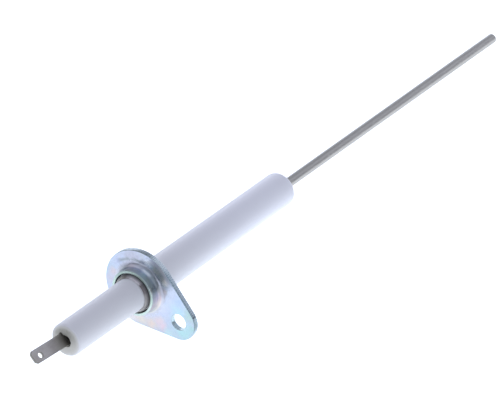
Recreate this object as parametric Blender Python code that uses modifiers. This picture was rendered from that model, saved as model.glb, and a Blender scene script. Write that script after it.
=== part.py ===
"""Flame sensor probe: a flame rod in a ceramic insulator, held by a drawn teardrop flange.

The probe's axis is the world X axis and the rod's flame end points to +X.  The origin is on that
axis, in the plane of the flange's mounting face.  The flange's lobe points to -Y and down, which
brings its lower straight edge close to level.  All lengths are in metres.
"""

from math import asin, cos, pi, radians, sin

import bmesh
import bpy

# Mounting flange: a pressed plate with a neck drawn out on its terminal side
PLATE_T = 0.0020
HEAD_R = 0.0142
LOBE_R = 0.0070
LOBE_DISTANCE = 0.0175
LOBE_TILT = radians(22.8)
SCREW_HOLE_R = 0.00295
SCREW_HOLE_DISTANCE = 0.0179
NECK_HEIGHT = 0.0043
NECK_OUTER_R = 0.0084
NECK_WALL = 0.00095
NECK_FILLET_R = 0.0017
BELL_R = 0.0030
PILOT_R = 0.0040

# Ceramic insulator
TERMINAL_END_X = -0.0438
FLAME_END_X = 0.0820
TERMINAL_R = 0.0060
FLAME_R = 0.0063
TERMINAL_EDGE_R = 0.0011
FLAME_EDGE_R = 0.0019
COLLAR_R = 0.00715
COLLAR_X = (-0.0054, -0.0026)
COLLAR_CHAMFER = 0.0003
BORE_R = 0.0020
POCKET_R = 0.0030
POCKET_DEPTH = 0.0040
SLOT_WIDTH = 0.0056
SLOT_OFFSET = -0.0005
SLOT_T = 0.0017
SLOT_DEPTH = 0.0080

# Electrode rod
ROD_R = 0.00175
ROD_TIP_X = 0.2186
ROD_ROOT_X = -0.0410
ROD_FLAT_END_X = -0.0355
ROD_CHAMFER = 0.0002

# Terminal tab
TAB_WIDTH = 0.0048
TAB_T = 0.0008
TAB_EXPOSED = 0.0166
TAB_ROOT_X = -0.0362
TAB_PIVOT_X = -0.0390
TAB_CORNER = (0.0009, 0.0011)
TAB_HOLE_R = 0.0010
TAB_HOLE_FROM_TIP = 0.0036
TAB_HOLE_OFFSET = 0.0003
TAB_ROLL = radians(-49.0)
TAB_OFFSET = -0.00045
TAB_LEAN = radians(-2.5)

# Packing rings and cement
GAP = 0.0003
FRONT_RING_OUTER_R = 0.00695
FRONT_RING_TOP_X = -0.0075
FRONT_RING_EDGE_X = -0.00635
REAR_RING_T = 0.0010
CEMENT_X = (-0.0010, -0.0003)
CEMENT_OUTER_R = (0.0079, 0.0088)
FLAME_CEMENT_LENGTH = 0.0036
ROOT_CEMENT_X = (-0.0390, -0.0362)
ROOT_CEMENT_R = 0.00170

# Smoothness of round shapes
TURN_STEPS = 48
ROD_STEPS = 32
ARC_STEPS = 6
HOLE_STEPS = 36
SMOOTH_ANGLE = radians(30)
CHAMFER_ANGLE = radians(60)
MERGE = 0.00001
OVERCUT = 0.0010
DIP = 0.00003

EDGE_SLANT = asin((HEAD_R - LOBE_R) / LOBE_DISTANCE)
FLANGE_ROLL = LOBE_TILT - pi / 2
PLATE_FRONT_X = -PLATE_T
NECK_TOP_X = PLATE_FRONT_X - NECK_HEIGHT
NECK_INNER_R = NECK_OUTER_R - NECK_WALL
TAB_TIP_X = TERMINAL_END_X - TAB_EXPOSED


def clear_scene():
    for item in list(bpy.data.objects):
        bpy.data.objects.remove(item, do_unlink=True)


def new_collection(name):
    collection = bpy.data.collections.new(name)
    bpy.context.scene.collection.children.link(collection)
    return collection


def new_material(name, color, metallic, roughness):
    material = bpy.data.materials.new(name)
    material.use_nodes = True
    shader = material.node_tree.nodes["Principled BSDF"]
    shader.inputs["Base Color"].default_value = (*color, 1.0)
    shader.inputs["Metallic"].default_value = metallic
    shader.inputs["Roughness"].default_value = roughness
    return material


def new_object(name, data, parent, collection):
    item = bpy.data.objects.new(name, data)
    item.parent = parent
    collection.objects.link(item)
    return item


def new_empty(name, parent, collection, location=(0, 0, 0), rotation=(0, 0, 0)):
    empty = new_object(name, None, parent, collection)
    empty.location = location
    empty.rotation_euler = rotation
    return empty


def arc(center_z, center_r, radius, start, end, steps=ARC_STEPS):
    """Points (radius from the axis, height) on an arc whose angles run from the +r direction."""
    points = []
    for i in range(steps + 1):
        angle = start + (end - start) * i / steps
        points.append((center_r + radius * cos(angle), center_z + radius * sin(angle)))
    return points


def turned(name, profile, parent, collection, steps=TURN_STEPS):
    """A ring turned about the parent's Z axis from a closed profile of (radius, height) points."""
    mesh = bpy.data.meshes.new(name)
    shape = bmesh.new()
    corners = [shape.verts.new((radius, 0.0, height)) for radius, height in profile]
    for first, second in zip(corners, corners[1:] + corners[:1]):
        shape.edges.new((first, second))
    shape.to_mesh(mesh)
    shape.free()
    item = new_object(name, mesh, parent, collection)
    screw = item.modifiers.new("turn", "SCREW")
    screw.axis = "Z"
    screw.angle = 2 * pi
    screw.steps = steps
    screw.render_steps = steps
    screw.use_merge_vertices = True
    screw.merge_threshold = MERGE
    screw.use_smooth_shade = True
    return item


def circle(center, radius, steps=HOLE_STEPS):
    """Points round a circle in a flat outline's plane."""
    points = []
    for i in range(steps):
        angle = 2 * pi * i / steps
        points.append((center[0] + radius * cos(angle), center[1] + radius * sin(angle)))
    return points


def plate(name, loops, thickness, parent, collection):
    """A flat plate, centred on its own XY plane, from an outline and its holes."""
    curve = bpy.data.curves.new(name + "_outline", "CURVE")
    curve.dimensions = "2D"
    curve.fill_mode = "BOTH"
    curve.extrude = thickness / 2
    for loop in loops:
        spline = curve.splines.new("POLY")
        spline.points.add(len(loop) - 1)
        for point, (x, y) in zip(spline.points, loop):
            point.co = (x, y, 0.0, 1.0)
        spline.use_cyclic_u = True
    guide = new_object(name + "_outline", curve, parent, collection)
    bpy.context.view_layer.update()
    mesh = bpy.data.meshes.new_from_object(guide.evaluated_get(bpy.context.evaluated_depsgraph_get()))
    bpy.data.objects.remove(guide, do_unlink=True)
    shape = bmesh.new()
    shape.from_mesh(mesh)
    bmesh.ops.remove_doubles(shape, verts=shape.verts, dist=MERGE)
    shape.to_mesh(mesh)
    shape.free()
    mesh.name = name
    return new_object(name, mesh, parent, collection)


def box(name, low, high, parent, collection):
    """A box between two corners, given in the parent's own axes."""
    mesh = bpy.data.meshes.new(name)
    shape = bmesh.new()
    bmesh.ops.create_cube(shape, size=1.0)
    for vertex in shape.verts:
        vertex.co = [a + (b - a) * (c + 0.5) for a, b, c in zip(low, high, vertex.co)]
    shape.to_mesh(mesh)
    shape.free()
    return new_object(name, mesh, parent, collection)


def rod(name, radius, low, high, parent, collection, steps=ROD_STEPS):
    """A round bar along the parent's Z axis between two heights."""
    mesh = bpy.data.meshes.new(name)
    shape = bmesh.new()
    bmesh.ops.create_cone(
        shape, cap_ends=True, segments=steps, radius1=radius, radius2=radius, depth=high - low
    )
    bmesh.ops.translate(shape, verts=shape.verts, vec=(0.0, 0.0, (low + high) / 2))
    shape.to_mesh(mesh)
    shape.free()
    return new_object(name, mesh, parent, collection)


def boolean(item, operation, cutter):
    modifier = item.modifiers.new(cutter.name, "BOOLEAN")
    modifier.operation = operation
    modifier.object = cutter
    modifier.solver = "EXACT"
    cutter.hide_render = True
    cutter.display_type = "WIRE"


def finish_part(item, material, smooth=True):
    item.data.materials.clear()
    item.data.materials.append(material)
    if smooth:
        item.data.shade_smooth()
        item.data.set_sharp_from_angle(angle=SMOOTH_ANGLE)


def teardrop():
    """The flange's outline: a large arc and a small arc joined by two tangents, lobe at +X."""
    points = []
    tangent = pi / 2 - EDGE_SLANT
    for i in range(TURN_STEPS - ARC_STEPS + 1):
        angle = tangent + (2 * pi - 2 * tangent) * i / (TURN_STEPS - ARC_STEPS)
        points.append((HEAD_R * cos(angle), HEAD_R * sin(angle)))
    lobe_steps = 3 * ARC_STEPS
    for i in range(lobe_steps + 1):
        angle = -tangent + 2 * tangent * i / lobe_steps
        points.append((LOBE_DISTANCE + LOBE_R * cos(angle), LOBE_R * sin(angle)))
    return points


def neck_profile():
    """The drawn neck as a ring: inner side up, rolled rim, outer side down to the fillet's foot."""
    rim_r = NECK_WALL / 2
    rim_x = NECK_TOP_X + rim_r
    fillet_x = PLATE_FRONT_X + DIP - NECK_FILLET_R
    fillet_r = NECK_OUTER_R + NECK_FILLET_R
    outer = arc(fillet_x, fillet_r, NECK_FILLET_R, pi / 2, pi)
    rim = arc(rim_x, NECK_INNER_R + rim_r, rim_r, 0, -pi)
    embedded_x = PLATE_FRONT_X / 2
    bore_r = NECK_INNER_R - OVERCUT
    bore = [(NECK_INNER_R, rim_x), (bore_r, rim_x), (bore_r, embedded_x)]
    return [(fillet_r, embedded_x)] + outer + rim[:-1] + bore


def bell_profile():
    """The space inside the neck, flaring out to the mounting face."""
    top_x = NECK_TOP_X - OVERCUT
    flare = arc(-BELL_R + DIP, NECK_INNER_R + BELL_R, BELL_R, pi / 2, pi)
    core_r = PILOT_R / 2
    mouth = [(core_r, OVERCUT), (NECK_INNER_R + BELL_R, OVERCUT)]
    return mouth + flare + [(NECK_INNER_R, top_x), (core_r, top_x)]


def build_flange(axis, parts, cutters, material):
    flange_axis = new_empty("flange_axis", axis, parts, rotation=(0, 0, FLANGE_ROLL))
    flange_mid = new_empty("flange_mid_plane", flange_axis, parts, location=(0, 0, -PLATE_T / 2))
    screw_hole = circle((SCREW_HOLE_DISTANCE, 0.0), SCREW_HOLE_R)
    pilot_hole = circle((0.0, 0.0), PILOT_R)
    outline = [teardrop(), screw_hole, pilot_hole]
    flange = plate("mounting_flange", outline, PLATE_T, flange_mid, parts)
    neck = turned("neck_body", neck_profile(), flange_axis, cutters)
    bell = turned("neck_bore", bell_profile(), flange_axis, cutters)
    boolean(flange, "UNION", neck)
    boolean(flange, "DIFFERENCE", bell)
    finish_part(flange, material)


def insulator_profile():
    """The ceramic body from the flame end down its outer side and back up the bore."""
    flame_edge = arc(FLAME_END_X - FLAME_EDGE_R, FLAME_R - FLAME_EDGE_R, FLAME_EDGE_R, pi / 2, 0)
    terminal_edge = arc(
        TERMINAL_END_X + TERMINAL_EDGE_R, TERMINAL_R - TERMINAL_EDGE_R, TERMINAL_EDGE_R, 0, -pi / 2
    )
    collar = [
        (FLAME_R, COLLAR_X[1]),
        (COLLAR_R, COLLAR_X[1]),
        (COLLAR_R, COLLAR_X[0] + COLLAR_CHAMFER),
        (COLLAR_R - COLLAR_CHAMFER, COLLAR_X[0]),
        (TERMINAL_R, COLLAR_X[0]),
    ]
    pocket_x = FLAME_END_X - POCKET_DEPTH
    bore = [(BORE_R, TERMINAL_END_X), (BORE_R, pocket_x), (POCKET_R, pocket_x), (POCKET_R, FLAME_END_X)]
    return flame_edge + collar + terminal_edge + bore


def build_insulator(axis, tab_axis, parts, cutters, material):
    insulator = turned("ceramic_insulator", insulator_profile(), axis, parts)
    mouth = TERMINAL_END_X - TAB_PIVOT_X
    slot = box(
        "tab_slot",
        (SLOT_OFFSET - SLOT_WIDTH / 2, mouth - OVERCUT, -SLOT_T / 2),
        (SLOT_OFFSET + SLOT_WIDTH / 2, mouth + SLOT_DEPTH, SLOT_T / 2),
        tab_axis,
        cutters,
    )
    boolean(insulator, "DIFFERENCE", slot)
    finish_part(insulator, material)


def build_rod(axis, tab_axis, parts, cutters, material):
    electrode = rod("electrode_rod", ROD_R, ROD_ROOT_X, ROD_TIP_X, axis, parts)
    chamfer = electrode.modifiers.new("chamfer", "BEVEL")
    chamfer.width = ROD_CHAMFER
    chamfer.segments = 1
    chamfer.limit_method = "ANGLE"
    chamfer.angle_limit = CHAMFER_ANGLE
    flat = TAB_T / 2 + GAP
    cut = box(
        "rod_flat",
        (-2 * ROD_R, ROD_ROOT_X - TAB_PIVOT_X - OVERCUT, -flat),
        (2 * ROD_R, ROD_FLAT_END_X - TAB_PIVOT_X, 2 * ROD_R),
        tab_axis,
        cutters,
    )
    boolean(electrode, "DIFFERENCE", cut)
    finish_part(electrode, material)


def tab_outline():
    """The blade seen flat: X across its width, Y along the probe, from the pivot."""
    half = TAB_WIDTH / 2
    tip = TAB_TIP_X - TAB_PIVOT_X
    root = TAB_ROOT_X - TAB_PIVOT_X
    across, along = TAB_CORNER
    return [
        (half, root),
        (-half, root),
        (-half, tip + along),
        (-half + across, tip),
        (half - across, tip),
        (half, tip + along),
    ]


def build_tab(tab_axis, parts, material):
    lean = new_empty(
        "tab_lean", tab_axis, parts, location=(TAB_OFFSET, 0, 0), rotation=(0, 0, TAB_LEAN)
    )
    hole_place = (TAB_HOLE_OFFSET, TAB_TIP_X + TAB_HOLE_FROM_TIP - TAB_PIVOT_X)
    hole = circle(hole_place, TAB_HOLE_R, ROD_STEPS)
    tab = plate("terminal_tab", [tab_outline(), hole], TAB_T, lean, parts)
    finish_part(tab, material, smooth=False)


def build_front_ring(axis, parts, material):
    """The packing in the neck's mouth, sloping up from the neck's lip to the insulator."""
    bottom = COLLAR_X[0] - GAP
    inner = TERMINAL_R + GAP / 2
    profile = [
        (FRONT_RING_OUTER_R, bottom),
        (FRONT_RING_OUTER_R, FRONT_RING_EDGE_X),
        (inner, FRONT_RING_TOP_X),
        (inner, bottom),
    ]
    finish_part(turned("front_packing_ring", profile, axis, parts), material)


def build_rear_ring(axis, parts, material):
    """The packing on the collar's other side."""
    low = COLLAR_X[1] + GAP
    high = low + REAR_RING_T
    inner = FLAME_R + GAP
    profile = [(COLLAR_R, high), (COLLAR_R, low), (inner, low), (inner, high)]
    finish_part(turned("rear_packing_ring", profile, axis, parts), material)


def build_flange_cement(axis, parts, material):
    """The cement that fills the neck's flared mouth on the mounting side."""
    low, high = CEMENT_X
    inner = FLAME_R + GAP
    profile = [(CEMENT_OUTER_R[1], high), (CEMENT_OUTER_R[0], low), (inner, low), (inner, high)]
    finish_part(turned("flange_cement", profile, axis, parts), material)


def build_flame_end_cement(axis, parts, material):
    """The cement round the rod in the insulator's flame end."""
    inner = ROD_R + GAP
    outer = POCKET_R - GAP
    low = FLAME_END_X - FLAME_CEMENT_LENGTH
    profile = [(outer, FLAME_END_X), (outer, low), (inner, low), (inner, FLAME_END_X)]
    finish_part(turned("flame_end_cement", profile, axis, parts), material)


def build_terminal_end_cement(axis, tab_axis, parts, cutters, material):
    """The half-round bead of cement over the tab's root, cut flat against the tab."""
    low, high = ROOT_CEMENT_X
    bead = rod("terminal_end_cement", ROOT_CEMENT_R, low, high, axis, parts)
    cut = box(
        "root_cement_flat",
        (-2 * ROD_R, low - TAB_PIVOT_X - OVERCUT, -2 * ROD_R),
        (2 * ROD_R, high - TAB_PIVOT_X + OVERCUT, TAB_T / 2 + GAP),
        tab_axis,
        cutters,
    )
    boolean(bead, "DIFFERENCE", cut)
    finish_part(bead, material)


def main():
    clear_scene()
    parts = new_collection("flame_sensor_probe")
    cutters = new_collection("cutters")
    zinc = new_material("zinc_plated_steel", (0.66, 0.72, 0.80), 1.0, 0.28)
    alumina = new_material("alumina", (0.80, 0.81, 0.84), 0.0, 0.45)
    heat_alloy = new_material("heat_resisting_alloy", (0.36, 0.36, 0.38), 1.0, 0.42)
    tab_steel = new_material("tab_steel", (0.40, 0.39, 0.38), 1.0, 0.40)
    packing = new_material("packing", (0.42, 0.40, 0.36), 0.0, 0.60)
    cement = new_material("cement", (0.70, 0.68, 0.62), 0.0, 0.90)
    axis = new_empty("probe_axis", None, parts, rotation=(0, pi / 2, 0))
    tab_axis = new_empty(
        "tab_axis", axis, parts, location=(0, 0, TAB_PIVOT_X), rotation=(pi / 2, 0, TAB_ROLL)
    )
    build_flange(axis, parts, cutters, zinc)
    build_insulator(axis, tab_axis, parts, cutters, alumina)
    build_rod(axis, tab_axis, parts, cutters, heat_alloy)
    build_tab(tab_axis, parts, tab_steel)
    build_front_ring(axis, parts, packing)
    build_rear_ring(axis, parts, packing)
    build_flange_cement(axis, parts, cement)
    build_flame_end_cement(axis, parts, cement)
    build_terminal_end_cement(axis, tab_axis, parts, cutters, cement)


main()
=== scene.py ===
"""Looks of the flame sensor probe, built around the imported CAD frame.

The probe's axis is X, the rod points to +X and the flange's mounting face is at x = 0.  Every piece
is a closed mesh in the row frame, in metres, and stands for the CAD node of the same place.
"""

from math import asin, cos, pi, radians, sin

import bmesh
import bpy
from mathutils import Euler, Matrix, Vector, noise


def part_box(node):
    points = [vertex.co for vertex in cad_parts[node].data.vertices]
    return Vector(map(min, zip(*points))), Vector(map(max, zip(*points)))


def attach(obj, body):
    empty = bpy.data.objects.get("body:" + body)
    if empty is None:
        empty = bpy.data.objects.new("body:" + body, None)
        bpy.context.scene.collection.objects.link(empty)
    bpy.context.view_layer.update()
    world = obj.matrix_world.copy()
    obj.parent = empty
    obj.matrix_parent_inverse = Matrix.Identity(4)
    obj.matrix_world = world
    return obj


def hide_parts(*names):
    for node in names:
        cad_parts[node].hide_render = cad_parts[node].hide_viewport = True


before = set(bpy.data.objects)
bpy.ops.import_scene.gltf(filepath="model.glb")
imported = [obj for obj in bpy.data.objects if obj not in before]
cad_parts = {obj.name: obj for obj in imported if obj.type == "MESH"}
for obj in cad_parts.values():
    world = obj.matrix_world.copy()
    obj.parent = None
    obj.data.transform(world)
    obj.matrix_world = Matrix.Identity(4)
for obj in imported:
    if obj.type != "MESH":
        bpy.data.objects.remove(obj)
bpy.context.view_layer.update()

# Sizes read from the frame
FLANGE_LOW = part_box("mounting_flange")[0]
INSULATOR_LOW, INSULATOR_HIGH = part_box("ceramic_insulator")
ROD_LOW, ROD_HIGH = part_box("electrode_rod")
TAB_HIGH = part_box("terminal_tab")[1]
FRONT_RING_LOW, FRONT_RING_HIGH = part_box("front_packing_ring")
REAR_RING_LOW, REAR_RING_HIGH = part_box("rear_packing_ring")
FLANGE_CEMENT_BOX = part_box("flange_cement")
FLAME_CEMENT_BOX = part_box("flame_end_cement")
ROOT_CEMENT_LOW, ROOT_CEMENT_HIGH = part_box("terminal_end_cement")

# Mounting flange
PLATE_T = 0.0020
HEAD_R = 0.0142
LOBE_R = 0.0070
LOBE_DISTANCE = 0.0175
SCREW_HOLE_R = 0.00295
SCREW_HOLE_DISTANCE = 0.0179
NECK_OUTER_R = 0.0084
NECK_WALL = 0.00095
NECK_FILLET_R = 0.0017
LIP_OUTER_R = 0.00022
LIP_INNER_R = 0.00015
BELL_R = 0.0030
NECK_TOP_X = FLANGE_LOW.x
NECK_INNER_R = NECK_OUTER_R - NECK_WALL
EDGE_ROLL_R = 0.00020
EDGE_BURR_R = 0.00012
LOBE_TILT = radians(22.8)
EDGE_SLANT = asin((HEAD_R - LOBE_R) / LOBE_DISTANCE)
HEAD_STEPS = 160
LOBE_STEPS = 72
SCREW_HOLE_STEPS = 96
LIP_STEPS = 6
FILLET_STEPS = 16
BURR_STEPS = 4

# Ceramic insulator
TERMINAL_END_X = INSULATOR_LOW.x
FLAME_END_X = INSULATOR_HIGH.x
TERMINAL_R = 0.0060
FLAME_R = 0.0063
TERMINAL_EDGE_R = 0.0011
FLAME_EDGE_R = 0.0019
FLAME_EDGE_STEPS = 14
COLLAR_R = INSULATOR_HIGH.y
COLLAR_X = (-0.0054, -0.0026)
COLLAR_CHAMFER = 0.0003
BORE_R = 0.0020
MOUTH_R = 0.0021
POCKET_R = 0.0030
POCKET_DEPTH = 0.0040
SLOT_WIDTH = 0.0056
SLOT_OFFSET = -0.0005
SLOT_T = 0.0014
SLOT_DEPTH = 0.0080
# Power of the slot's outline: the higher, the sharper its corners
SLOT_SQUARENESS = 8
MOUTH_CHAMFER = 0.00018
CHIP_SIZE = 0.0006

# Electrode rod and terminal tab
ROD_R = ROD_HIGH.y
ROD_FLAT_END_X = -0.0355
ROD_EDGE_R = 0.0003
ROD_EDGE_STEPS = 6
ROD_ROOT_BEVEL = 0.0002
ROD_STEPS = 96
TAB_WIDTH = 0.0048
TAB_T = 0.0008
TAB_TIP_X = -0.0604
TAB_PIVOT_X = -0.0390
TAB_CORNER = (0.0009, 0.0011)
TAB_CORNER_R = 0.0007
TAB_OFFSET = -0.00045
TAB_HOLE_R = 0.0010
TAB_HOLE_FROM_TIP = 0.0036
TAB_HOLE_OFFSET = 0.0003
TAB_HOLE_STEPS = 48
TAB_CORNER_STEPS = 6
TAB_EDGE_R = 0.00012
TAB_EDGE_STEPS = 5
TAB_ROLL = radians(-49.0)
TAB_LEAN = radians(-2.5)

# Packing rings and cement
FRONT_RING_EDGE_X = -0.00635
FRONT_RING_STEPS = 40
GROOVES = 4
GROOVE_DEPTH = 0.00005
RING_BUMP_SIZE = 0.0012
FRONT_RING_BUMP = 0.00005
REAR_RING_BUMP = 0.00004
REAR_RING_SOFT_R = 0.0002
RING_STEPS = 96
CEMENT_DISH = 0.00012
CEMENT_DISH_STEPS = 12
CEMENT_FACE_DEPTH = 0.0002
CEMENT_BUMP_SIZE = 0.0007
CEMENT_BUMP = 0.00008
NECK_CEMENT_SKEW = 0.0009
ROOT_CEMENT_R = 0.0017
ROOT_CEMENT_BEVEL = 0.0003
ROOT_CEMENT_STEPS = 64

# Gap between neighbours, and the step from a rounded edge to the flat face beside it
GAP = 0.0003
SEAM = 0.00005
ROUND_STEPS = 192
ARC_STEPS = 8

# Angles in degrees above which an edge is shaded sharp
SHARP_ANGLE = 40.0
FLANGE_SHARP_ANGLE = 50.0
TAB_SHARP_ANGLE = 30.0

# Axes of the flange's lobe, and of the tab's slot
AXIS = Vector((1.0, 0.0, 0.0))
LOBE = Vector((0.0, -cos(LOBE_TILT), -sin(LOBE_TILT)))
SIDE = AXIS.cross(LOBE)
ACROSS = Vector((0.0, sin(TAB_ROLL), -cos(TAB_ROLL)))
OUTWARD = ACROSS.cross(AXIS)

# Studio table: its glow, the stretch to the camera's right over which the light that it gives back
# fades, the share of glow that is left there, and its colour before and past the fade
TABLE_SIZE = 6.0
TABLE_GAP = 0.0002
TABLE_GLOW = (0.85, 0.91, 1.01)
TABLE_FADE = (0.13, 0.30)
TABLE_DIM = 0.1
TABLE_TINTS = ((0.0, (0.80, 0.80, 0.82)), (1.0, (0.25, 0.25, 0.26)))

# Studio sky: its light from overhead and from the walls behind the probe, to the camera's right,
# behind the camera and to its left, the heights between which the overhead light starts, and the
# colour that the camera sees
SKY_OVERHEAD = (0.555, 0.58, 0.70)
SKY_BACK = (2.35, 2.45, 2.90)
SKY_RIGHT = (0.05, 0.06, 0.07)
SKY_FRONT = (0.05, 0.055, 0.065)
SKY_LEFT = (0.30, 0.32, 0.38)
SKY_EDGE = (0.12, 0.50)
BACKDROP = (0.92, 0.94, 0.97)

# Camera
CAMERA_AIM = Vector((0.06570, 0.00210, 0.00190))
CAMERA_DISTANCE = 1.7367
CAMERA_HEADING = radians(56.51)
CAMERA_ELEVATION = radians(31.54)
CAMERA_ROLL = radians(3.08)
CAMERA_LENS = 360.0
SENSOR_WIDTH = 36.0


# ---------------------------------------------------------------- mesh building


def add_loop(shape, points):
    return [shape.verts.new(point) for point in points]


def bridge(shape, first, second, material=0):
    """A band of quads between two closed loops with equally many points."""
    for i in range(len(first)):
        j = (i + 1) % len(first)
        face = shape.faces.new((first[i], first[j], second[j], second[i]))
        face.material_index = material


def bridge_all(shape, loops, material=0):
    for first, second in zip(loops, loops[1:]):
        bridge(shape, first, second, material)


def fill(shape, *loops, material=0):
    """A flat face between closed loops: the outer one and the holes in it."""
    edges = []
    for loop in loops:
        for i in range(len(loop)):
            pair = (loop[i - 1], loop[i])
            edges.append(shape.edges.get(pair) or shape.edges.new(pair))
    made = bmesh.ops.triangle_fill(shape, edges=edges, use_beauty=True, use_dissolve=False)
    for item in made["geom"]:
        if isinstance(item, bmesh.types.BMFace):
            item.material_index = material


def finish_piece(shape, name, node, materials, sharp=SHARP_ANGLE):
    """The mesh becomes a piece that stands for a CAD node."""
    bmesh.ops.recalc_face_normals(shape, faces=shape.faces)
    mesh = bpy.data.meshes.new(name)
    shape.to_mesh(mesh)
    shape.free()
    for material in materials:
        mesh.materials.append(material)
    mesh.shade_smooth()
    mesh.set_sharp_from_angle(angle=radians(sharp))
    piece = bpy.data.objects.new(name, mesh)
    bpy.context.scene.collection.objects.link(piece)
    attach(piece, "root")
    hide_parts(node)
    return piece


def arc(center, radius, start, end, steps=ARC_STEPS):
    """Points on an arc in the plane of a profile, where angle 0 is +x and a quarter turn is +r."""
    points = []
    for i in range(steps + 1):
        angle = start + (end - start) * i / steps
        points.append((center[0] + radius * cos(angle), center[1] + radius * sin(angle)))
    return points


def ring_points(x, radius, steps=ROUND_STEPS):
    """Points round the probe's axis."""
    points = []
    for i in range(steps):
        angle = 2 * pi * i / steps
        points.append(Vector((x, radius * cos(angle), radius * sin(angle))))
    return points


def ripple(point, size, amount):
    """Moves a point in or out from the axis by smooth noise whose bumps have the given size."""
    outward = Vector((0.0, point.y, point.z)).normalized()
    return point + outward * amount * noise.noise(point / size)


def lathe(shape, profile, steps=ROUND_STEPS, roughen=None, material=0):
    """Loops turned about the probe's axis from (x, radius) points, joined in bands."""
    loops = []
    for x, radius in profile:
        points = ring_points(x, radius, steps)
        if roughen:
            points = [ripple(point, *roughen) for point in points]
        loops.append(add_loop(shape, points))
    bridge_all(shape, loops, material)
    return loops


# ---------------------------------------------------------------- mounting flange


def flange_point(x, along, across):
    """A place on the flange: its height on the axis, and along and across the lobe."""
    return AXIS * x + LOBE * along + SIDE * across


def outline_points(x, inset):
    """The teardrop: a large arc and a small arc joined by two tangents."""
    tangent = pi / 2 - EDGE_SLANT
    head_r = HEAD_R - inset
    lobe_r = LOBE_R - inset
    flat = []
    for i in range(HEAD_STEPS + 1):
        angle = tangent + (2 * pi - 2 * tangent) * i / HEAD_STEPS
        flat.append((head_r * cos(angle), head_r * sin(angle)))
    for i in range(LOBE_STEPS + 1):
        angle = -tangent + 2 * tangent * i / LOBE_STEPS
        flat.append((LOBE_DISTANCE + lobe_r * cos(angle), lobe_r * sin(angle)))
    return [flange_point(x, along, across) for along, across in flat]


def hole_points(x, radius):
    points = []
    for i in range(SCREW_HOLE_STEPS):
        angle = 2 * pi * i / SCREW_HOLE_STEPS
        along = SCREW_HOLE_DISTANCE + radius * cos(angle)
        points.append(flange_point(x, along, radius * sin(angle)))
    return points


def edge_profile():
    """(x, inset) round a cut edge, from the face on the neck's side to the mounting face."""
    front = arc((EDGE_ROLL_R - PLATE_T, EDGE_ROLL_R), EDGE_ROLL_R, pi, 3 * pi / 2)
    back = arc((-EDGE_BURR_R, EDGE_BURR_R), EDGE_BURR_R, 3 * pi / 2, 2 * pi, BURR_STEPS)
    start = [(-PLATE_T, EDGE_ROLL_R + SEAM)]
    end = [(0.0, EDGE_BURR_R + SEAM)]
    return start + front + back + end


def neck_profile():
    """(x, radius) from the neck's foot over its lip and down the flared bore."""
    foot_r = NECK_OUTER_R + NECK_FILLET_R
    fillet = arc((-PLATE_T - NECK_FILLET_R, foot_r), NECK_FILLET_R, 0, -pi / 2, FILLET_STEPS)
    outer_edge = (NECK_TOP_X + LIP_OUTER_R, NECK_OUTER_R - LIP_OUTER_R)
    inner_edge = (NECK_TOP_X + LIP_INNER_R, NECK_INNER_R + LIP_INNER_R)
    outside = arc(outer_edge, LIP_OUTER_R, pi / 2, pi, LIP_STEPS)
    inside = arc(inner_edge, LIP_INNER_R, pi, 3 * pi / 2, LIP_STEPS)
    bell = arc((-BELL_R, NECK_INNER_R + BELL_R), BELL_R, -pi / 2, 0, FILLET_STEPS)
    start = [(-PLATE_T, foot_r + SEAM)]
    end = [(0.0, NECK_INNER_R + BELL_R + SEAM)]
    return start + fillet + outside + inside + bell + end


def build_flange(zinc, cut_steel):
    shape = bmesh.new()
    rim = [add_loop(shape, outline_points(x, inset)) for x, inset in edge_profile()]
    hole = [add_loop(shape, hole_points(x, SCREW_HOLE_R + inset)) for x, inset in edge_profile()]
    bridge_all(shape, rim[:2])
    bridge_all(shape, rim[1:], 1)
    bridge_all(shape, hole[:2])
    bridge_all(shape, hole[1:], 1)
    neck = lathe(shape, neck_profile())
    fill(shape, rim[0], hole[0], neck[0])
    fill(shape, rim[-1], hole[-1], neck[-1])
    finish_piece(shape, "flange", "mounting_flange", [zinc, cut_steel], FLANGE_SHARP_ANGLE)


# ---------------------------------------------------------------- ceramic insulator


def slot_reach(angle, grow):
    """Distance from the axis to the slot's rim in a direction; the slot's corners are softened."""
    offset = SLOT_OFFSET if cos(angle) > 0 else -SLOT_OFFSET
    wide = abs(cos(angle)) / (SLOT_WIDTH / 2 + offset + grow)
    thick = abs(sin(angle)) / (SLOT_T / 2 + grow)
    return (wide ** SLOT_SQUARENESS + thick ** SLOT_SQUARENESS) ** (-1 / SLOT_SQUARENESS)


def keyhole_points(x, grow, chip):
    """The mouth's outline: a round bore with a slot across it, grown by a margin and chipped."""
    points = []
    for i in range(ROUND_STEPS):
        angle = 2 * pi * i / ROUND_STEPS
        reach = max(MOUTH_R + grow, slot_reach(angle, grow))
        point = AXIS * x + (ACROSS * cos(angle) + OUTWARD * sin(angle)) * reach
        points.append(ripple(point, CHIP_SIZE, chip))
    return points


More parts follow.
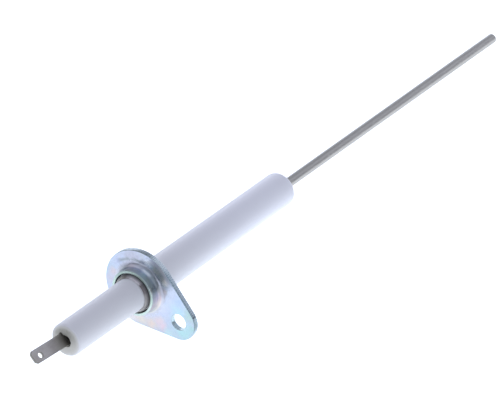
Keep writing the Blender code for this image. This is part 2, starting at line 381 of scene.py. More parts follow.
def insulator_profile():
    """(x, radius) from the terminal face over the body and back up the bore to the slot's floor."""
    terminal_edge = (TERMINAL_END_X + TERMINAL_EDGE_R, TERMINAL_R - TERMINAL_EDGE_R)
    flame_edge = (FLAME_END_X - FLAME_EDGE_R, FLAME_R - FLAME_EDGE_R)
    terminal = arc(terminal_edge, TERMINAL_EDGE_R, pi, pi / 2)
    flame = arc(flame_edge, FLAME_EDGE_R, pi / 2, 0, FLAME_EDGE_STEPS)
    collar = [
        (COLLAR_X[0], TERMINAL_R),
        (COLLAR_X[0], COLLAR_R - COLLAR_CHAMFER),
        (COLLAR_X[0] + COLLAR_CHAMFER, COLLAR_R),
        (COLLAR_X[1], COLLAR_R),
        (COLLAR_X[1], FLAME_R),
    ]
    pocket = [
        (FLAME_END_X, POCKET_R + GAP),
        (FLAME_END_X - GAP, POCKET_R),
        (FLAME_END_X - POCKET_DEPTH, POCKET_R),
        (FLAME_END_X - POCKET_DEPTH, BORE_R),
    ]
    start = [(TERMINAL_END_X, TERMINAL_R - TERMINAL_EDGE_R - SEAM)]
    floor = [(TERMINAL_END_X + SLOT_DEPTH, BORE_R - SEAM)]
    return start + terminal + collar + flame + pocket + floor


# Outlines of the mouth on its way in: depth, growth and depth of the chips
MOUTH_OUTLINES = (
    (0.0, MOUTH_CHAMFER + SEAM, 0.00020),
    (0.0, MOUTH_CHAMFER, 0.00020),
    (MOUTH_CHAMFER * 0.3, MOUTH_CHAMFER * 0.3, 0.00015),
    (MOUTH_CHAMFER, 0.0, 0.00008),
    (0.002, 0.0, 0.00004),
    (SLOT_DEPTH, 0.0, 0.0),
)


def build_insulator(alumina):
    shape = bmesh.new()
    body = lathe(shape, insulator_profile())
    mouth = []
    for depth, grow, chip in MOUTH_OUTLINES:
        mouth.append(add_loop(shape, keyhole_points(TERMINAL_END_X + depth, grow, chip)))
    bridge_all(shape, mouth)
    fill(shape, body[0], mouth[0])
    fill(shape, body[-1], mouth[-1])
    finish_piece(shape, "insulator", "ceramic_insulator", [alumina])


# ---------------------------------------------------------------- rod, tab, rings and cement


def section_points(x, radius, steps, facing=OUTWARD, flat=None):
    """A round section, or one cut by a flat at a height along the facing direction."""
    beside = facing.cross(AXIS)
    start = pi / 2 if flat is None else asin(flat / radius)
    points = []
    for i in range(steps):
        angle = 2 * pi * i / steps - pi / 2
        across = radius * cos(angle)
        height = radius * sin(angle)
        if flat is not None and start < angle < pi - start:
            across = radius * cos(start) * (1 - 2 * (angle - start) / (pi - 2 * start))
            height = flat
        points.append(AXIS * x + beside * across + facing * height)
    return points


def build_rod(heat_alloy, cut_end):
    shape = bmesh.new()
    edge = (ROD_HIGH.x - ROD_EDGE_R, ROD_R - ROD_EDGE_R)
    tip = arc(edge, ROD_EDGE_R, pi / 2, 0, ROD_EDGE_STEPS)
    tip.append((ROD_HIGH.x, ROD_R - ROD_EDGE_R - SEAM))
    flat = -(TAB_T / 2 + GAP)
    sections = [
        section_points(ROD_LOW.x, ROD_R - ROD_ROOT_BEVEL, ROD_STEPS, flat=flat),
        section_points(ROD_LOW.x + ROD_ROOT_BEVEL, ROD_R, ROD_STEPS, flat=flat),
        section_points(ROD_FLAT_END_X - SEAM, ROD_R, ROD_STEPS, flat=flat),
        section_points(ROD_FLAT_END_X, ROD_R, ROD_STEPS),
    ]
    sections += [section_points(x, radius, ROD_STEPS) for x, radius in tip]
    loops = [add_loop(shape, points) for points in sections]
    bridge_all(shape, loops)
    fill(shape, loops[0], material=1)
    fill(shape, loops[-1], material=1)
    finish_piece(shape, "rod", "electrode_rod", [heat_alloy, cut_end])


def tab_points(out, inset):
    """The blade's outline with softened corners, as (across, along, out) from the pivot."""
    half = TAB_WIDTH / 2
    tip = TAB_TIP_X - TAB_PIVOT_X
    root = TAB_HIGH.x - TAB_PIVOT_X
    cut_across, cut_along = TAB_CORNER
    corners = [
        Vector((half, root)),
        Vector((-half, root)),
        Vector((-half, tip + cut_along)),
        Vector((-half + cut_across, tip)),
        Vector((half - cut_across, tip)),
        Vector((half, tip + cut_along)),
    ]
    points = []
    for i, corner in enumerate(corners):
        back = (corner - corners[i - 1]).normalized()
        on = (corners[(i + 1) % len(corners)] - corner).normalized()
        turn = back.angle_signed(on)
        inward = (on - back).normalized()
        center = corner + inward * (TAB_CORNER_R / cos(turn / 2))
        for step in range(TAB_CORNER_STEPS + 1):
            direction = Matrix.Rotation(-turn * (step / TAB_CORNER_STEPS - 0.5), 2) @ -inward
            points.append(center + direction * (TAB_CORNER_R - inset))
    return [Vector((point.x, point.y, out)) for point in points]


def tab_hole_points(out, inset):
    points = []
    for i in range(TAB_HOLE_STEPS):
        angle = 2 * pi * i / TAB_HOLE_STEPS
        radius = TAB_HOLE_R + inset
        along = TAB_TIP_X + TAB_HOLE_FROM_TIP - TAB_PIVOT_X + radius * sin(angle)
        points.append(Vector((TAB_HOLE_OFFSET + radius * cos(angle), along, out)))
    return points


def build_tab(tab_steel, cut_edge):
    half = TAB_T / 2
    profile = [(half, TAB_EDGE_R + SEAM)]
    profile += arc((half - TAB_EDGE_R, TAB_EDGE_R), TAB_EDGE_R, 0, -pi / 2, TAB_EDGE_STEPS)
    profile += arc((TAB_EDGE_R - half, TAB_EDGE_R), TAB_EDGE_R, -pi / 2, -pi, TAB_EDGE_STEPS)
    profile.append((-half, TAB_EDGE_R + SEAM))
    shape = bmesh.new()
    outer = [add_loop(shape, tab_points(out, inset)) for out, inset in profile]
    inner = [add_loop(shape, tab_hole_points(out, inset)) for out, inset in profile]
    bridge_all(shape, outer, 1)
    bridge_all(shape, inner, 1)
    fill(shape, outer[0], inner[0])
    fill(shape, outer[-1], inner[-1])
    turn = Euler((pi / 2, 0.0, TAB_ROLL)).to_matrix().to_4x4()
    place = Matrix.Rotation(pi / 2, 4, "Y") @ Matrix.Translation((0.0, 0.0, TAB_PIVOT_X)) @ turn
    place = place @ Matrix.Translation((TAB_OFFSET, 0.0, 0.0)) @ Matrix.Rotation(TAB_LEAN, 4, "Z")
    bmesh.ops.transform(shape, matrix=place, verts=shape.verts)
    finish_piece(shape, "tab", "terminal_tab", [tab_steel, cut_edge], TAB_SHARP_ANGLE)


def build_front_ring(packing):
    """The packing in the neck's mouth, with fine turns pressed into its sloping face."""
    inner = TERMINAL_R + GAP / 2
    outer = FRONT_RING_HIGH.y
    top = FRONT_RING_LOW.x
    bottom = FRONT_RING_HIGH.x
    slope = []
    for i in range(FRONT_RING_STEPS + 1):
        share = i / FRONT_RING_STEPS
        groove = GROOVE_DEPTH * cos(2 * GROOVES * pi * share)
        x = top + (FRONT_RING_EDGE_X - top) * share + groove
        slope.append((x, inner + (outer - inner) * share))
    shape = bmesh.new()
    profile = [(bottom, inner)] + slope + [(bottom, outer)]
    loops = lathe(shape, profile, roughen=(RING_BUMP_SIZE, FRONT_RING_BUMP))
    bridge(shape, loops[-1], loops[0])
    finish_piece(shape, "front_ring", "front_packing_ring", [packing])


def build_rear_ring(packing):
    inner = FLAME_R + GAP
    low = REAR_RING_LOW.x
    high = REAR_RING_HIGH.x
    outer = REAR_RING_HIGH.y
    soft = REAR_RING_SOFT_R
    profile = [(high, inner), (low, inner), (low, outer - soft), (low + soft, outer)]
    profile += [(high - soft, outer), (high, outer - soft)]
    shape = bmesh.new()
    loops = lathe(shape, profile, RING_STEPS, roughen=(RING_BUMP_SIZE, REAR_RING_BUMP))
    bridge(shape, loops[-1], loops[0])
    finish_piece(shape, "rear_ring", "rear_packing_ring", [packing])


def cement_ring(name, node, box, inner, cement, skew=0.0):
    """A trowelled ring of cement: its face at +X is dished and uneven, its other end narrower by skew."""
    low = box[0].x
    high = box[1].x
    outer = box[1].y
    face = []
    for i in range(CEMENT_DISH_STEPS + 1):
        share = i / CEMENT_DISH_STEPS
        dish = CEMENT_DISH * sin(pi * share)
        face.append((high - dish, inner + (outer - inner) * share))
    profile = [(low, inner)] + face + [(low, outer - skew)]
    shape = bmesh.new()
    loops = lathe(shape, profile, RING_STEPS)
    bridge(shape, loops[-1], loops[0])
    for vertex in shape.verts:
        if vertex.co.x > high - CEMENT_FACE_DEPTH:
            vertex.co.x -= CEMENT_BUMP * (1 + noise.noise(vertex.co / CEMENT_BUMP_SIZE))
    finish_piece(shape, name, node, [cement])


def build_root_cement(cement):
    """The bead over the tab's root: round outside, flat towards the tab."""
    flat = -(TAB_T / 2 + GAP)
    bevel = ROOT_CEMENT_BEVEL
    low = ROOT_CEMENT_LOW.x
    high = ROOT_CEMENT_HIGH.x
    shape = bmesh.new()
    loops = []
    for x, shrink in ((low, bevel), (low + bevel, 0.0), (high - bevel, 0.0), (high, bevel)):
        points = section_points(x, ROOT_CEMENT_R - shrink, ROOT_CEMENT_STEPS, -OUTWARD, flat)
        loops.append(add_loop(shape, points))
    bridge_all(shape, loops)
    fill(shape, loops[0])
    fill(shape, loops[-1])
    finish_piece(shape, "root_cement", "terminal_end_cement", [cement])


# ---------------------------------------------------------------- materials


class Nodes:
    """A material's node tree with short calls for the nodes that the looks need."""

    def __init__(self, owner, metallic=0.0, roughness=0.5):
        if isinstance(owner, str):
            self.material = bpy.data.materials.new(owner)
            self.material.use_nodes = True
            self.tree = self.material.node_tree
            self.shader = self.tree.nodes["Principled BSDF"]
            self.shader.inputs["Metallic"].default_value = metallic
            self.shader.inputs["Roughness"].default_value = roughness
            self.position = self.add("ShaderNodeTexCoord").outputs["Object"]
        else:
            self.tree = owner.node_tree

    def add(self, kind, **settings):
        node = self.tree.nodes.new(kind)
        for key, value in settings.items():
            setattr(node, key, value)
        return node

    def put(self, socket, value):
        if isinstance(value, bpy.types.NodeSocket):
            self.tree.links.new(value, socket)
        elif isinstance(value, tuple) and socket.type == "RGBA" and len(value) == 3:
            socket.default_value = (*value, 1.0)
        else:
            socket.default_value = value

    def math(self, operation, a, b=0.0, c=0.0):
        node = self.add("ShaderNodeMath", operation=operation)
        for socket, value in zip(node.inputs, (a, b, c)):
            self.put(socket, value)
        return node.outputs[0]

    def vector_math(self, operation, a, b=(0.0, 0.0, 0.0)):
        node = self.add("ShaderNodeVectorMath", operation=operation)
        self.put(node.inputs[0], a)
        self.put(node.inputs[1], b)
        return node.outputs["Value" if operation in ("DOT_PRODUCT", "LENGTH") else "Vector"]

    def along(self, direction):
        """How far a place lies along a direction from the frame's origin."""
        return self.vector_math("DOT_PRODUCT", self.position, tuple(direction))

    def near(self, value, center, inside, outside, strength=1.0):
        """The strength within the inside distance of the center, and 0 past the outside distance."""
        away = self.math("ABSOLUTE", self.math("SUBTRACT", value, center))
        return self.mapped(away, inside, outside, strength, 0.0)

    def mapped(self, value, low, high, to_low=0.0, to_high=1.0, smooth=True):
        node = self.add("ShaderNodeMapRange")
        if smooth:
            node.interpolation_type = "SMOOTHSTEP"
        names = ("Value", "From Min", "From Max", "To Min", "To Max")
        for key, number in zip(names, (value, low, high, to_low, to_high)):
            self.put(node.inputs[key], number)
        return node.outputs["Result"]

    def noise(self, size, detail=3.0, stretch=(1.0, 1.0, 1.0), distortion=0.0):
        """Noise whose features are about size metres across, times stretch along each axis."""
        scaled = self.vector_math("MULTIPLY", self.position, tuple(1 / s for s in stretch))
        node = self.add("ShaderNodeTexNoise")
        self.put(node.inputs["Vector"], scaled)
        node.inputs["Scale"].default_value = 1 / size
        node.inputs["Detail"].default_value = detail
        node.inputs["Roughness"].default_value = 0.5
        node.inputs["Distortion"].default_value = distortion
        return node.outputs["Fac"]

    def along_axis(self):
        return self.along(AXIS)

    def from_axis(self):
        return self.vector_math("LENGTH", self.vector_math("MULTIPLY", self.position, (0.0, 1.0, 1.0)))

    def around_axis(self):
        """The angle about the probe's axis in radians, from +Y towards +Z."""
        return self.math("ARCTAN2", self.along((0.0, 0.0, 1.0)), self.along((0.0, 1.0, 0.0)))

    def ramp(self, value, stops):
        """A smooth run of colours, each at its share of the value."""
        node = self.add("ShaderNodeValToRGB")
        node.color_ramp.interpolation = "EASE"
        elements = node.color_ramp.elements
        while len(elements) < len(stops):
            elements.new(1.0)
        for element, (place, color) in zip(elements, stops):
            element.position = place
            element.color = (*color, 1.0)
        self.put(node.inputs[0], value)
        return node.outputs["Color"]

    def mix(self, share, a, b, blend="MIX"):
        node = self.add("ShaderNodeMix", data_type="RGBA", blend_type=blend)
        self.put(node.inputs[0], share)
        self.put(node.inputs[6], a)
        self.put(node.inputs[7], b)
        return node.outputs[2]

    def bump(self, height, distance, strength=1.0, normal=None):
        node = self.add("ShaderNodeBump")
        node.inputs["Strength"].default_value = strength
        node.inputs["Distance"].default_value = distance
        self.put(node.inputs["Height"], height)
        if normal is not None:
            self.put(node.inputs["Normal"], normal)
        return node.outputs["Normal"]

    def finish(self, color, roughness=None, normal=None):
        self.put(self.shader.inputs["Base Color"], color)
        if roughness is not None:
            self.put(self.shader.inputs["Roughness"], roughness)
        if normal is not None:
            self.put(self.shader.inputs["Normal"], normal)
        return self.material


# Ground colour of the passivated plate
PLATE_COLOR = (0.46, 0.51, 0.60)

# Iridescent tints over it, partly painted reflection where their brightness paints in the light the plate
# gives back: place along and across the lobe, reach, and colour
PLATE_TINTS_AND_REFLECTIONS = (
    (-0.0130, 0.0020, 0.0055, (0.41, 0.50, 0.58)),
    (-0.0105, 0.0052, 0.0026, (0.49, 0.47, 0.52)),
    (-0.0108, -0.0036, 0.0024, (0.40, 0.44, 0.56)),
    (-0.0108, 0.0018, 0.0032, (0.53, 0.48, 0.50)),
    (-0.0080, -0.0085, 0.0060, (0.41, 0.42, 0.48)),
    (-0.0048, -0.0120, 0.0030, (0.43, 0.46, 0.50)),
    (0.0032, 0.0110, 0.0040, (0.66, 0.60, 0.58)),
    (0.0058, 0.0105, 0.0036, (0.62, 0.57, 0.50)),
    (0.0098, 0.0090, 0.0046, (0.64, 0.55, 0.49)),
    (0.0118, 0.0056, 0.0034, (0.60, 0.53, 0.54)),
    (0.0138, 0.0064, 0.0034, (0.62, 0.52, 0.56)),
    (0.0095, 0.0010, 0.0045, (0.50, 0.53, 0.64)),
    (0.0080, -0.0062, 0.0016, (0.45, 0.45, 0.44)),
    (0.0165, -0.0030, 0.0060, (0.40, 0.56, 0.65)),
    (0.0145, -0.0070, 0.0035, (0.40, 0.49, 0.64)),
    (0.0170, 0.0068, 0.0034, (0.47, 0.60, 0.62)),
    (0.0215, 0.0020, 0.0070, (0.40, 0.60, 0.60)),
    (0.0210, -0.0065, 0.0050, (0.38, 0.52, 0.48)),
    (0.0232, -0.0015, 0.0024, (0.38, 0.56, 0.55)),
    (0.0040, -0.0110, 0.0060, (0.60, 0.61, 0.62)),
    (0.0020, 0.0135, 0.0030, (0.64, 0.61, 0.58)),
    (0.0022, -0.0108, 0.0028, (0.74, 0.66, 0.60)),
    (0.0060, -0.0094, 0.0026, (0.84, 0.80, 0.78)),
    (-0.0011, -0.0110, 0.0027, (0.95, 0.98, 1.00)),
)

# Tints and painted reflections up the neck, from its lip to its foot: share of the height, and colour
NECK_TINTS_AND_REFLECTIONS = (
    (0.0, (0.47, 0.60, 0.50)),
    (0.06, (0.46, 0.58, 0.50)),
    (0.12, (0.46, 0.54, 0.55)),
    (0.45, (0.50, 0.58, 0.61)),
    (0.60, (0.56, 0.66, 0.78)),
    (0.74, (0.51, 0.56, 0.61)),
    (0.88, (0.37, 0.41, 0.45)),
    (1.0, (0.53, 0.55, 0.59)),
)

# How the neck's tints and painted reflections shift round it: share of a turn from -Y over -Z, and a
# factor; 0.5 keeps it
NECK_SIDE_REFLECTIONS = (
    (0.0, (0.72, 0.54, 0.50)),
    (0.04, (0.84, 0.68, 0.57)),
    (0.12, (0.76, 0.70, 0.58)),
    (0.30, (0.50, 0.50, 0.50)),
    (0.58, (0.39, 0.38, 0.34)),
    (0.63, (0.40, 0.39, 0.34)),
    (0.69, (0.84, 0.72, 0.67)),
    (0.735, (0.76, 0.71, 0.69)),
    (0.78, (0.53, 0.54, 0.55)),
    (0.81, (0.35, 0.41, 0.40)),
    (0.86, (0.33, 0.37, 0.34)),
    (0.895, (0.34, 0.38, 0.34)),
    (0.922, (0.56, 0.57, 0.52)),
    (0.945, (0.46, 0.44, 0.39)),
    (0.975, (0.53, 0.44, 0.41)),
    (1.0, (0.72, 0.54, 0.50)),
)

# Patches on the neck, most of them painted shade and painted highlights, the last a pink tint: angle and
# reach in radians, share of the height and reach, colour, strength
NECK_SHADE_HIGHLIGHT_AND_TINT_PATCHES = (
    (0.95, 0.75, 1.00, 0.12, (0.30, 0.31, 0.34), 0.8),
    (2.86, 0.36, 1.00, 0.12, (0.26, 0.27, 0.28), 0.8),
    (1.95, 0.30, 0.74, 0.17, (0.92, 1.00, 1.00), 0.7),
    (0.95, 0.65, 0.00, 0.09, (0.24, 0.31, 0.27), 0.7),
    (2.70, 0.25, 0.09, 0.10, (0.92, 0.92, 0.80), 0.8),
    (3.08, 0.20, 0.78, 0.14, (0.42, 0.40, 0.44), 0.6),
    (-2.75, 0.30, 0.35, 0.40, (0.95, 0.70, 0.66), 0.5),
)


def paint_face_tints_and_reflections(make, swirl):
    """Clouds of colour over the flat of the plate, partly painted reflection, each fading out from its
    own centre.
    """
    drift = make.math("MULTIPLY_ADD", swirl, 0.005, -0.0025)
    along = make.math("ADD", make.along(LOBE), drift)
    across = make.math("SUBTRACT", make.along(SIDE), drift)
    color = PLATE_COLOR
    for tint_along, tint_across, reach, tint in PLATE_TINTS_AND_REFLECTIONS:
        away_along = make.math("POWER", make.math("SUBTRACT", along, tint_along), 2.0)
        away_across = make.math("POWER", make.math("SUBTRACT", across, tint_across), 2.0)
        away = make.math("SQRT", make.math("ADD", away_along, away_across))
        color = make.mix(make.mapped(away, 0.0, reach, 1.0, 0.0), color, tint)
    return color


def paint_dark_reflection_arc(make, swirl, angle, radius, color):
    """A painted dark reflection that curls round part of the neck's foot on the plate."""
    mark = make.noise(0.0011, 3.0, stretch=(1.0, 3.0, 1.0))
    spiral = make.math("MULTIPLY_ADD", angle, 0.00125, radius)
    middle = make.mapped(swirl, 0.0, 1.0, 0.0118, 0.0130)
    arc_share = make.near(spiral, middle, 0.0, 0.0011)
    reach = make.near(angle, 1.15, 0.30, 0.60)
    arc_share = make.math("MULTIPLY", arc_share, reach)
    arc_share = make.math("MULTIPLY", arc_share, make.mapped(mark, 0.25, 0.5, 0.3, 1.0))
    # painted dark reflection round the neck's foot
    return make.mix(make.math("MULTIPLY", arc_share, 0.75), color, (0.24, 0.27, 0.27))


def paint_neck_shade_highlights_and_tints(make, angle, height, color):
    """Soft patches of painted shade, painted highlight and tint at their own angle and height on the
    neck.
    """
    for center, reach, level, spread, tint, strength in NECK_SHADE_HIGHLIGHT_AND_TINT_PATCHES:
        turned = make.math("WRAP", make.math("SUBTRACT", angle, center), pi, -pi)
        beside = make.near(turned, 0.0, reach / 3, reach, strength)
        over = make.near(height, level, spread / 3, spread)
        color = make.mix(make.math("MULTIPLY", beside, over), color, tint)
    return color


def neck_tints_and_reflections(make, angle):
    """The neck's colour: bands of tint and painted reflection up its height that shift round it, patches
    of painted shade and highlight, and fine drawing marks.
    """
    height = make.mapped(make.along_axis(), NECK_TOP_X, -PLATE_T, smooth=False)
    wobble = make.math("MULTIPLY_ADD", make.noise(0.0035, 2.0), 0.16, -0.08)
    neck = make.ramp(make.math("ADD", height, wobble), NECK_TINTS_AND_REFLECTIONS)
    turn = make.math("MULTIPLY_ADD", angle, 1 / (2 * pi), 0.5)
    doubled = make.vector_math("MULTIPLY", neck, (2.0, 2.0, 2.0))
    # painted reflections that shift round the neck
    sides = make.mix(1.0, doubled, make.ramp(turn, NECK_SIDE_REFLECTIONS), "MULTIPLY")
    below_lip = make.mapped(height, 0.03, 0.10)
    above_foot = make.mapped(height, 0.92, 0.99, 1.0, 0.0)
    neck = make.mix(make.math("MULTIPLY", below_lip, above_foot), neck, sides)
    neck = paint_neck_shade_highlights_and_tints(make, angle, height, neck)
    fine = make.noise(0.00022, 2.0, stretch=(1.0, 30.0, 30.0))
    return make.mix(make.mapped(fine, 0.3, 0.7, 0.0, 0.25), neck, (0.62, 0.60, 0.74))


def make_zinc():
    """Zinc plate with a clear iridescent passivation, duller and rougher on the drawn neck; painted
    reflections, shade and highlights on the plate and neck.
    """
    make = Nodes("zinc_passivated", metallic=1.0)
    swirl = make.noise(0.006, 3.0, distortion=1.2)
    radius = make.from_axis()
    angle = make.around_axis()
    # painted dark reflection round the neck's foot, over tints that are partly painted reflection
    color = paint_dark_reflection_arc(make, swirl, angle, radius, paint_face_tints_and_reflections(make, swirl))
    foot_r = NECK_OUTER_R + NECK_FILLET_R
    near_neck = make.mapped(radius, foot_r - 0.0006, foot_r + 0.0009, 1.0, 0.0)
    # the neck's tints with its painted reflections, shade and highlights
    color = make.mix(near_neck, color, neck_tints_and_reflections(make, angle))
    cloud = make.noise(0.0012, 4.0)
    color = make.mix(make.mapped(cloud, 0.45, 0.75, 0.0, 0.15), color, (0.62, 0.64, 0.66))
    roughness = make.mapped(make.noise(0.0010, 4.0), 0.3, 0.7, 0.16, 0.27)
    roughness = make.math("MULTIPLY_ADD", near_neck, 0.14, roughness)
    normal = make.bump(make.noise(0.00018, 2.0), 0.000004)
    normal = make.bump(make.noise(0.0022, 2.0), 0.00003, 1.0, normal)
    return make.finish(color, roughness, normal)


def make_cut_steel():
    """The sheared edge: plated like the face, with fine marks across the thickness, painted shade and a
    painted highlight.
    """
    make = Nodes("zinc_cut_edge", metallic=1.0)
    streak = make.noise(0.0003, 3.0, stretch=(8.0, 1.0, 1.0))
    angle = make.around_axis()
    # painted shade: darker next to the face on the neck's side
    band = make.mapped(make.along_axis(), -PLATE_T + 0.0003, -PLATE_T + 0.0007)
    color = make.mix(band, (0.30, 0.42, 0.46), (0.52, 0.62, 0.66))
    color = make.mix(make.mapped(streak, 0.3, 0.7, 0.0, 0.35), color, (0.66, 0.74, 0.76))
    # painted shade at one place round the edge, and a painted highlight at another
    color = make.mix(make.near(angle, 1.35, 0.35, 0.65, 0.85), color, (0.25, 0.29, 0.29))
    color = make.mix(make.near(angle, 2.10, 0.10, 0.35, 0.6), color, (0.74, 0.82, 0.82))
    # painted shade on one side of the lobe's tip
    past_hole = make.mapped(make.along(LOBE), 0.0215, 0.0235)
    beside_hole = make.mapped(make.along(SIDE), 0.0, -0.0030)
    tip = make.math("MULTIPLY", past_hole, beside_hole)
    color = make.mix(make.math("MULTIPLY", tip, 0.85), color, (0.20, 0.27, 0.28))
    hole_center = tuple(LOBE * SCREW_HOLE_DISTANCE)
    hole = make.vector_math("LENGTH", make.vector_math("SUBTRACT", make.position, hole_center))
    hole = make.mapped(hole, SCREW_HOLE_R + 0.0010, SCREW_HOLE_R + 0.0005)
    color = make.mix(hole, color, (0.50, 0.62, 0.64))
    normal = make.bump(streak, 0.00003)
    return make.finish(color, make.mapped(streak, 0.3, 0.7, 0.22, 0.36), normal)


def fired_end_and_shade(make, grit):
    """The dull grey of the terminal end's face: painted shade on one side and towards the mouth, a paler
    rim and coarse grit.
    """
    # painted shade: darker on one side and towards the mouth
    shade = make.along(ACROSS * 0.87 - OUTWARD * 0.5)
    shade = make.math("MULTIPLY_ADD", make.from_axis(), 0.9, shade)
    shade = make.mapped(shade, 0.0, 0.011, smooth=False)
    color = make.mix(shade, (0.42, 0.41, 0.345), (0.74, 0.72, 0.65))
    rim = make.mapped(make.from_axis(), 0.0040, 0.0056, 0.0, 0.85)
    color = make.mix(rim, color, (0.72, 0.71, 0.67))
    return make.mix(make.mapped(grit, 0.40, 0.70, 0.0, 0.40), color, (0.62, 0.61, 0.54))


def make_alumina():
    """White satin body, turning to the dull grey of the fired terminal end round its mouth."""
    make = Nodes("alumina_satin")
    cloud = make.noise(0.009, 3.0)
    color = make.mix(cloud, (0.80, 0.80, 0.80), (0.84, 0.84, 0.84))
    color = make.mix(make.mapped(make.along_axis(), -0.01, 0.07), color, (0.90, 0.905, 0.935))
    speck = make.noise(0.0006, 2.0)
    color = make.mix(make.mapped(speck, 0.66, 0.74, 0.0, 0.25), color, (0.62, 0.60, 0.56))
    grit = make.noise(0.0008, 5.0)
    depth = make.math("SUBTRACT", make.along_axis(), TERMINAL_END_X)
    depth = make.math("ADD", depth, make.math("MULTIPLY_ADD", cloud, 0.0003, -0.00015))
    fired = make.mapped(depth, 0.0, 0.00035, 1.0, 0.0)
    inside = make.mapped(make.from_axis(), 0.0036, 0.0044, 1.0, 0.0)
    fired = make.math("MAXIMUM", fired, inside)
    color = make.mix(fired, color, fired_end_and_shade(make, grit))
    normal = make.bump(make.noise(0.0005, 4.0), 0.00002, 0.5)
    normal = make.bump(make.math("MULTIPLY", grit, fired), 0.00010, 0.7, normal)
    make.shader.inputs["Specular IOR Level"].default_value = 0.35
    return make.finish(color, make.mapped(fired, 0.0, 1.0, 0.47, 0.7), normal)


# Side of the rod painted in shade, as a direction from its axis
ROD_PAINTED_SHADE_SIDE = (0.0, 0.743, 0.669)


def make_metal(name, dark, light, roughness, stretch, rim=(1.0, 1.0, 1.0), painted_shade=0.0):
    """A dull metal with fine streaks, and painted shade on one side when asked; rim is the tint of its
    reflection at a grazing angle.
    """
    make = Nodes(name, metallic=1.0)
    make.shader.inputs["Specular Tint"].default_value = (*rim, 1.0)
    streak = make.noise(0.00012, 4.0, stretch=stretch)
    cloud = make.noise(0.004, 3.0, stretch=(3.0, 1.0, 1.0))
    color = make.mix(make.mapped(streak, 0.3, 0.7), dark, light)
    color = make.mix(make.mapped(cloud, 0.35, 0.75, 0.0, 0.35), color, dark)
    if painted_shade:
        # painted shade on the upper side
        upper = make.math("DIVIDE", make.along(ROD_PAINTED_SHADE_SIDE), ROD_R)
        color = make.mix(make.mapped(upper, 0.15, 0.80, 0.0, painted_shade), color, (0.18, 0.18, 0.165))
    normal = make.bump(streak, 0.00001, 0.6)
    return make.finish(color, make.mapped(streak, 0.3, 0.7, roughness[0], roughness[1]), normal)


def make_heat_alloy():
    """The rod's skin: drawn wire with long streaks, with painted shade on its upper side."""
    return make_metal(
        "heat_alloy",
        dark=(0.46, 0.445, 0.405),
        light=(0.57, 0.555, 0.505),
        roughness=(0.34, 0.46),
        stretch=(30.0, 1.0, 1.0),
        rim=(0.75, 0.75, 0.75),
        painted_shade=0.7,
    )


def make_rod_end():
    """The rod's cut ends."""
    return make_metal(
        "heat_alloy_cut",
        dark=(0.46, 0.45, 0.46),
        light=(0.60, 0.59, 0.60),
        roughness=(0.40, 0.55),
        stretch=(1.0, 1.0, 1.0),
    )


def make_tab_edge():
    """The tab's sheared edges."""
    return make_metal(
        "tab_cut_edge",
        dark=(0.25, 0.24, 0.20),
        light=(0.38, 0.37, 0.32),
        roughness=(0.45, 0.55),
        stretch=(1.0, 1.0, 1.0),
    )


# Greys of the terminal tab, painted light towards its tip and painted shade towards the insulator: share
# of the way from its tip to the insulator's mouth, and colour
TAB_LIGHT_AND_SHADE = (
    (0.0, (0.58, 0.55, 0.49)),
    (0.30, (0.59, 0.56, 0.52)),
    (0.46, (0.58, 0.55, 0.51)),
    (0.58, (0.47, 0.445, 0.41)),
    (0.75, (0.42, 0.40, 0.365)),
    (0.90, (0.36, 0.345, 0.32)),
    (1.0, (0.33, 0.315, 0.29)),
)


def make_tab_steel():
    """Dull strip with brown blotches, painted light towards its tip, painted shade towards the insulator,
    and lighter along one long edge.
    """
    make = Nodes("tab_steel", metallic=1.0)
    streak = make.noise(0.00012, 4.0, stretch=(20.0, 1.0, 1.0))
    cloud = make.noise(0.0014, 3.0, stretch=(1.6, 1.0, 1.0))
    share = make.mapped(make.along_axis(), TAB_TIP_X, TERMINAL_END_X, smooth=False)
    drift = make.math("MULTIPLY_ADD", make.noise(0.004, 2.0), 0.2, -0.1)
    # painted light and shade along the tab
    color = make.ramp(make.math("ADD", share, drift), TAB_LIGHT_AND_SHADE)
    color = make.mix(make.mapped(streak, 0.3, 0.7, 0.0, 0.25), color, (0.34, 0.32, 0.29))
    color = make.mix(make.mapped(cloud, 0.45, 0.75, 0.0, 0.30), color, (0.36, 0.31, 0.29))
    edge = make.mapped(make.along(ACROSS), -0.0030, -0.0024, 1.0, 0.0)
    color = make.mix(make.math("MULTIPLY", edge, 0.5), color, (0.58, 0.57, 0.54))
    normal = make.bump(streak, 0.00001, 0.6)
    return make.finish(color, make.mapped(streak, 0.3, 0.7, 0.34, 0.48), normal)


# Colours of the packing in the neck's mouth, partly painted shade: the dark stops are painted shade, the
# pale ones a smear of cement. Share of a turn from -Y over -Z, and colour
PACKING_TINTS_AND_SHADE = (
    (0.0, (0.46, 0.44, 0.41)),
    (0.50, (0.60, 0.58, 0.54)),
    (0.58, (0.66, 0.64, 0.58)),
    (0.63, (0.50, 0.49, 0.40)),
    (0.69, (0.20, 0.17, 0.14)),
    (0.74, (0.86, 0.82, 0.83)),
    (0.82, (0.84, 0.80, 0.80)),
    (0.86, (0.22, 0.19, 0.19)),
    (0.92, (0.24, 0.21, 0.21)),
    (0.96, (0.42, 0.40, 0.38)),
    (1.0, (0.46, 0.44, 0.41)),
)


